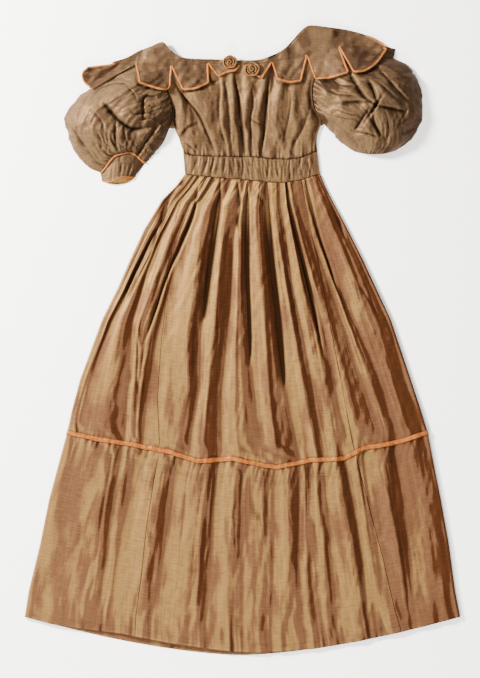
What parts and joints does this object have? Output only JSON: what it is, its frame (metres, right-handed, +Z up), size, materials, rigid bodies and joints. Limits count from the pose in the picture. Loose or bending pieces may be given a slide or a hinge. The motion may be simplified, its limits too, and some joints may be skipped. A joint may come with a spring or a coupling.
{
  "type": "maxi dress",
  "caption": "Ankle-length silk taffeta dress with puffed elbow sleeves, a dagged collar bound in satin, a gathered bodice and a tiered skirt, laid flat on its back",
  "frame": {"origin": "the middle of the dress's outline, on the surface that it lies on", "axes": "+Y towards the neck, +Z up out of the dress's front, +X to the right as the front is seen, which is the wearer's left"},
  "size_m": [0.8709, 1.2582, 0.0535],
  "materials": {
    "binding_left_1": "satin",
    "binding_left_2": "satin",
    "binding_left_3": "satin",
    "binding_left_4": "satin",
    "binding_right_1": "satin",
    "binding_right_2": "satin",
    "binding_right_3": "satin",
    "binding_right_4": "satin",
    "bodice_back_left": "crisp shot silk taffeta",
    "bodice_back_right": "crisp shot silk taffeta",
    "bodice_front": "crisp shot silk taffeta",
    "collar_back_left": "crisp shot silk taffeta",
    "collar_back_right": "crisp shot silk taffeta",
    "collar_front_left": "crisp shot silk taffeta",
    "collar_front_right": "crisp shot silk taffeta",
    "cuff_left": "crisp shot silk taffeta",
    "cuff_piping_left": "satin",
    "cuff_piping_right": "satin",
    "cuff_right": "crisp shot silk taffeta",
    "flounce_back": "crisp shot silk taffeta",
    "flounce_front": "crisp shot silk taffeta",
    "flounce_side_left": "crisp shot silk taffeta",
    "flounce_side_right": "crisp shot silk taffeta",
    "ribbon_back": "satin",
    "ribbon_front": "satin",
    "rosette_left": "crisp silk taffeta",
    "rosette_right": "crisp silk taffeta",
    "skirt_back": "crisp shot silk taffeta",
    "skirt_front": "crisp shot silk taffeta",
    "skirt_side_left": "crisp shot silk taffeta",
    "skirt_side_right": "crisp shot silk taffeta",
    "sleeve_left": "crisp shot silk taffeta",
    "sleeve_right": "crisp shot silk taffeta",
    "waistband_back_left": "crisp shot silk taffeta",
    "waistband_back_right": "crisp shot silk taffeta",
    "waistband_front": "crisp shot silk taffeta"
  },
  "bodies": {
    "root": {"binding_left_1": "binding_left_1", "binding_left_2": "binding_left_2", "binding_left_3": "binding_left_3", "binding_left_4": "binding_left_4", "binding_right_1": "binding_right_1", "binding_right_2": "binding_right_2", "binding_right_3": "binding_right_3", "binding_right_4": "binding_right_4", "bodice_back_left": "bodice_back_left", "bodice_back_right": "bodice_back_right", "bodice_front": "bodice_front", "collar_back_left": "collar_back_left", "collar_back_right": "collar_back_right", "collar_front_left": "collar_front_left", "collar_front_right": "collar_front_right", "cuff_left": "cuff_left", "cuff_piping_left": "cuff_piping_left", "cuff_piping_right": "cuff_piping_right", "cuff_right": "cuff_right", "flounce_back": "flounce_back", "flounce_front": "flounce_front", "flounce_side_left": "flounce_side_left", "flounce_side_right": "flounce_side_right", "ribbon_back": "ribbon_back", "ribbon_front": "ribbon_front", "rosette_left": "rosette_left", "rosette_right": "rosette_right", "skirt_back": "skirt_back", "skirt_front": "skirt_front", "skirt_side_left": "skirt_side_left", "skirt_side_right": "skirt_side_right", "sleeve_left": "sleeve_left", "sleeve_right": "sleeve_right", "waistband_back_left": "waistband_back_left", "waistband_back_right": "waistband_back_right", "waistband_front": "waistband_front"}
  },
  "joints": []
}
